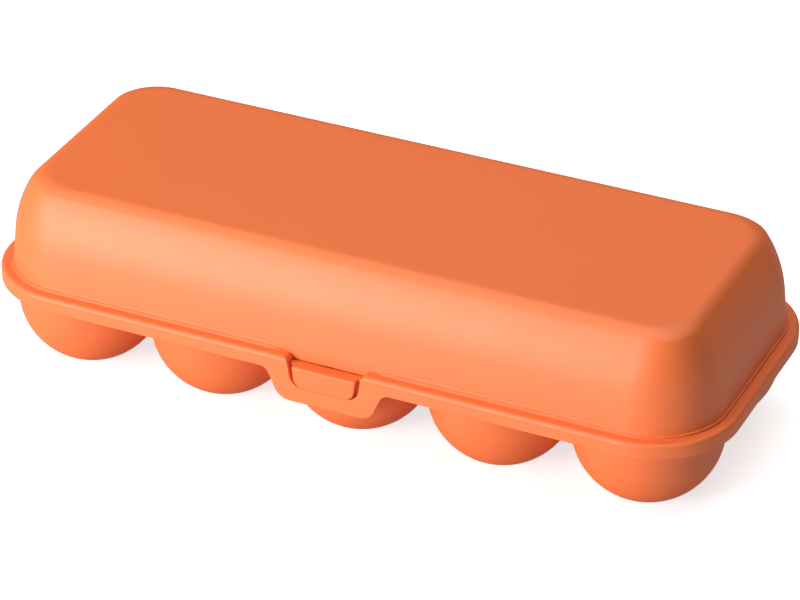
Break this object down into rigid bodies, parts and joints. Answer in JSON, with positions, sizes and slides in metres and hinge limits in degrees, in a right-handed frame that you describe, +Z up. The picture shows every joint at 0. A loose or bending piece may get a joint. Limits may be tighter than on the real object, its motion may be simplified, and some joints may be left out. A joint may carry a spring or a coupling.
{
  "type": "egg box",
  "caption": "Reusable egg storage box: a tray of round egg cups under a domed lid that hinges at the back, with a sprung U-shaped latch flap over a front catch.",
  "frame": {"origin": "on the table, under the middle of the overall length and depth", "axes": "+X along the row of five cups, -Y towards the latch at the front, +Y towards the hinges, +Z up"},
  "size_m": [0.2652, 0.1164, 0.0695],
  "materials": {
    "tray_plastic": "satin moulded polypropylene, orange",
    "lid_plastic": "satin moulded polypropylene, orange"
  },
  "bodies": {
    "base": {"base_tray": "tray_plastic"},
    "lid_body": {"lid": "lid_plastic"},
    "latch": {"latch_flap": "lid_plastic"}
  },
  "joints": [
    {"name": "lid_hinge", "type": "hinge", "parent": "base", "child": "lid_body", "pos_m": [0, 0.05535, 0.03433], "axis": [-1, 0, 0], "range_deg": [0, 180]},
    {"name": "latch_flex", "type": "hinge", "parent": "lid_body", "child": "latch", "pos_m": [0, -0.05785, 0.03008], "axis": [-1, 0, 0], "range_deg": [0, 25], "stiffness_Nm_per_rad": 0.35}
  ]
}
